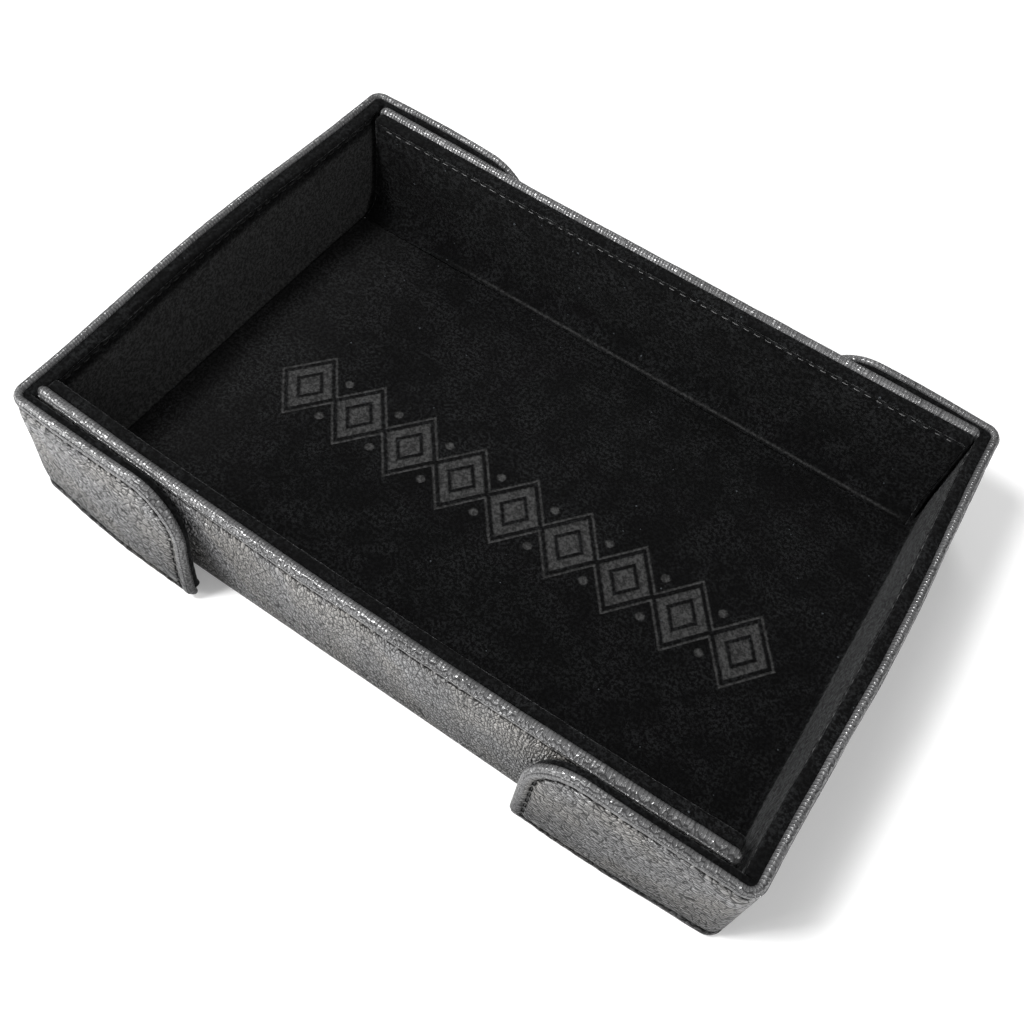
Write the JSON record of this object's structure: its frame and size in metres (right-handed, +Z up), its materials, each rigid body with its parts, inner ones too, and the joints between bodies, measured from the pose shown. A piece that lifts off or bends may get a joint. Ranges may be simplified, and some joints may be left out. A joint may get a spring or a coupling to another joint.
{
  "type": "folding dice tray",
  "caption": "Shallow rectangular tray of leather-wrapped boards lined with velvet; its walls fold on soft hinges and magnetic flaps wrap the corners.",
  "frame": {"origin": "on the table under the middle of the tray", "axes": "+X along the tray to its right end, +Y to the back long wall, +Z up; the front long wall is at -Y"},
  "size_m": [0.256, 0.182, 0.047],
  "materials": {
    "leather": "pebbled black leather, satin",
    "velvet": "short-pile black velvet on thin foam",
    "board": "grey pressed board",
    "magnet": "nickel-plated bar"
  },
  "bodies": {
    "base": {"base_cover": "leather", "base_board": "board", "base_velvet": "velvet", "front_cover_fold": "leather", "front_velvet_fold": "velvet", "back_cover_fold": "leather", "back_velvet_fold": "velvet", "left_cover_fold": "leather", "left_velvet_fold": "velvet", "right_cover_fold": "leather", "right_velvet_fold": "velvet"},
    "front_wall": {"front_wall_cover": "leather", "front_wall_board": "board", "front_wall_velvet": "velvet", "front_wall_magnet_left": "magnet", "front_wall_magnet_right": "magnet"},
    "back_wall": {"back_wall_cover": "leather", "back_wall_board": "board", "back_wall_velvet": "velvet", "back_wall_magnet_left": "magnet", "back_wall_magnet_right": "magnet"},
    "left_wall": {"left_wall_cover": "leather", "left_wall_board": "board", "left_wall_velvet": "velvet", "front_left_corner_cover": "leather", "front_left_corner_velvet": "velvet", "back_left_corner_cover": "leather", "back_left_corner_velvet": "velvet"},
    "right_wall": {"right_wall_cover": "leather", "right_wall_board": "board", "right_wall_velvet": "velvet", "front_right_corner_cover": "leather", "front_right_corner_velvet": "velvet", "back_right_corner_cover": "leather", "back_right_corner_velvet": "velvet"},
    "front_left_flap": {"front_left_flap_cover": "leather", "front_left_flap_board": "board", "front_left_flap_velvet": "velvet", "front_left_flap_magnet": "magnet"},
    "front_right_flap": {"front_right_flap_cover": "leather", "front_right_flap_board": "board", "front_right_flap_velvet": "velvet", "front_right_flap_magnet": "magnet"},
    "back_left_flap": {"back_left_flap_cover": "leather", "back_left_flap_board": "board", "back_left_flap_velvet": "velvet", "back_left_flap_magnet": "magnet"},
    "back_right_flap": {"back_right_flap_cover": "leather", "back_right_flap_board": "board", "back_right_flap_velvet": "velvet", "back_right_flap_magnet": "magnet"}
  },
  "joints": [
    {"name": "front_wall_fold", "type": "hinge", "parent": "base", "child": "front_wall", "pos_m": [0, -0.0737, 0.001], "axis": [-1, 0, 0], "range_deg": [0, 90], "deforming": ["front_cover_fold", "front_velvet_fold"]},
    {"name": "back_wall_fold", "type": "hinge", "parent": "base", "child": "back_wall", "pos_m": [0, 0.0737, 0.001], "axis": [1, 0, 0], "range_deg": [0, 90], "deforming": ["back_cover_fold", "back_velvet_fold"]},
    {"name": "left_wall_fold", "type": "hinge", "parent": "base", "child": "left_wall", "pos_m": [-0.1268, 0, 0.0012], "axis": [0, -1, 0], "range_deg": [0, 90], "deforming": ["left_cover_fold", "left_velvet_fold"]},
    {"name": "right_wall_fold", "type": "hinge", "parent": "base", "child": "right_wall", "pos_m": [0.1268, 0, 0.0012], "axis": [0, 1, 0], "range_deg": [0, 90], "deforming": ["right_cover_fold", "right_velvet_fold"]},
    {"name": "front_left_flap_fold", "type": "hinge", "parent": "left_wall", "child": "front_left_flap", "pos_m": [-0.12693, -0.08993, 0.0235], "axis": [0, 0, -1], "range_deg": [0, 90], "deforming": ["front_left_corner_cover", "front_left_corner_velvet"]},
    {"name": "front_right_flap_fold", "type": "hinge", "parent": "right_wall", "child": "front_right_flap", "pos_m": [0.12693, -0.08993, 0.0235], "axis": [0, 0, 1], "range_deg": [0, 90], "deforming": ["front_right_corner_cover", "front_right_corner_velvet"]},
    {"name": "back_left_flap_fold", "type": "hinge", "parent": "left_wall", "child": "back_left_flap", "pos_m": [-0.12693, 0.08993, 0.0235], "axis": [0, 0, 1], "range_deg": [0, 90], "deforming": ["back_left_corner_cover", "back_left_corner_velvet"]},
    {"name": "back_right_flap_fold", "type": "hinge", "parent": "right_wall", "child": "back_right_flap", "pos_m": [0.12693, 0.08993, 0.0235], "axis": [0, 0, -1], "range_deg": [0, 90], "deforming": ["back_right_corner_cover", "back_right_corner_velvet"]}
  ]
}
